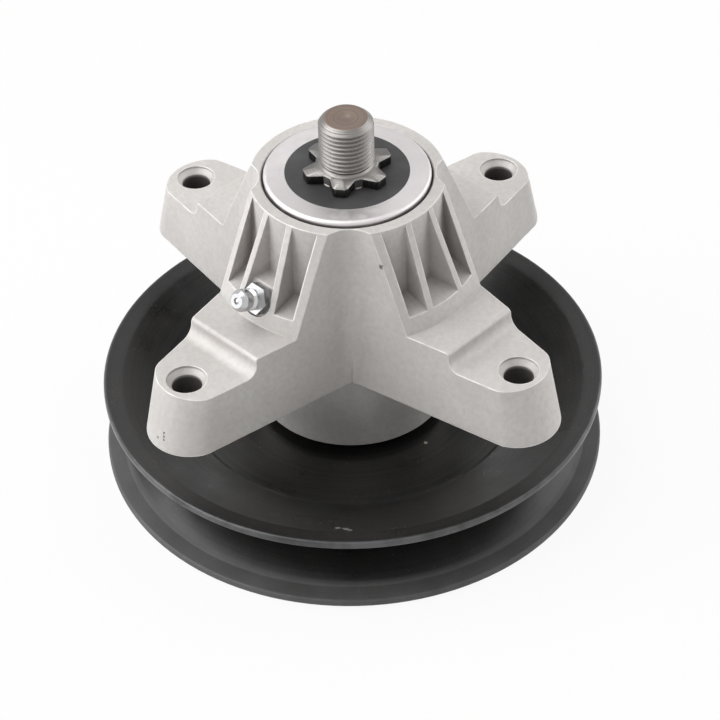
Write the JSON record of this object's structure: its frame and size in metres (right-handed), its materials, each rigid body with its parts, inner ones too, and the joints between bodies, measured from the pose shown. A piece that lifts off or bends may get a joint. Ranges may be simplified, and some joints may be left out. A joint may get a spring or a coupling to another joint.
{
  "type": "mower deck spindle",
  "caption": "Mower deck spindle, blade end up: finned cast housing with bolt legs, greased ball bearings, V-belt pulley and star drive stud for the blade.",
  "frame": {"origin": "On the shaft's axis, in the plane of the pulley's lower rim, on which the part stands blade end up.", "axes": "+Z along the shaft from the pulley to the blade end. X and Y run along the sides of the square that the bolt holes make. The grease fitting is on the leg towards -X -Y."},
  "size_m": [0.1524, 0.1524, 0.1185],
  "materials": {
    "cast_aluminium": "matte",
    "shaft_steel": "satin",
    "bearing_steel": "satin",
    "cage_plastic": "matte",
    "seal_rubber": "matte",
    "pulley_paint": "gloss",
    "plated_steel": "satin"
  },
  "bodies": {
    "housing_body": {"housing": "cast_aluminium", "blade_bearing_outer_ring": "bearing_steel", "pulley_bearing_outer_ring": "bearing_steel", "blade_seal": "seal_rubber", "pulley_seal": "seal_rubber", "grease_fitting": "plated_steel", "grease_check_spring": "plated_steel"},
    "rotor": {"shaft": "shaft_steel", "blade_bearing_inner_ring": "bearing_steel", "pulley_bearing_inner_ring": "bearing_steel", "bearing_spacer": "shaft_steel", "pulley_spacer": "plated_steel", "pulley_upper_half": "pulley_paint", "pulley_lower_half": "pulley_paint", "pulley_washer": "plated_steel", "pulley_nut": "plated_steel"},
    "blade_ball_set": {"blade_bearing_balls": "bearing_steel", "blade_bearing_cage": "cage_plastic"},
    "pulley_ball_set": {"pulley_bearing_balls": "bearing_steel", "pulley_bearing_cage": "cage_plastic"},
    "check_ball": {"grease_check_ball": "bearing_steel"}
  },
  "joints": [
    {"name": "spindle_spin", "type": "hinge", "parent": "housing_body", "child": "rotor", "pos_m": [0, 0, 0.06], "axis": [0, 0, 1], "continuous": true},
    {"name": "blade_balls_orbit", "type": "hinge", "parent": "housing_body", "child": "blade_ball_set", "pos_m": [0, 0, 0.0931], "axis": [0, 0, 1], "continuous": true},
    {"name": "pulley_balls_orbit", "type": "hinge", "parent": "housing_body", "child": "pulley_ball_set", "pos_m": [0, 0, 0.02725], "axis": [0, 0, 1], "continuous": true},
    {"name": "check_ball_lift", "type": "slide", "parent": "housing_body", "child": "check_ball", "axis": [0.6355, 0.6355, -0.4384], "range_m": [0, 0.0006], "stiffness_N_per_m": 300, "springref_m": -0.001, "deforming": ["grease_check_spring"]}
  ],
  "couplings": [
    {"joint": "blade_balls_orbit", "follows": "spindle_spin", "ratio": 0.3641},
    {"joint": "pulley_balls_orbit", "follows": "spindle_spin", "ratio": 0.3641}
  ]
}
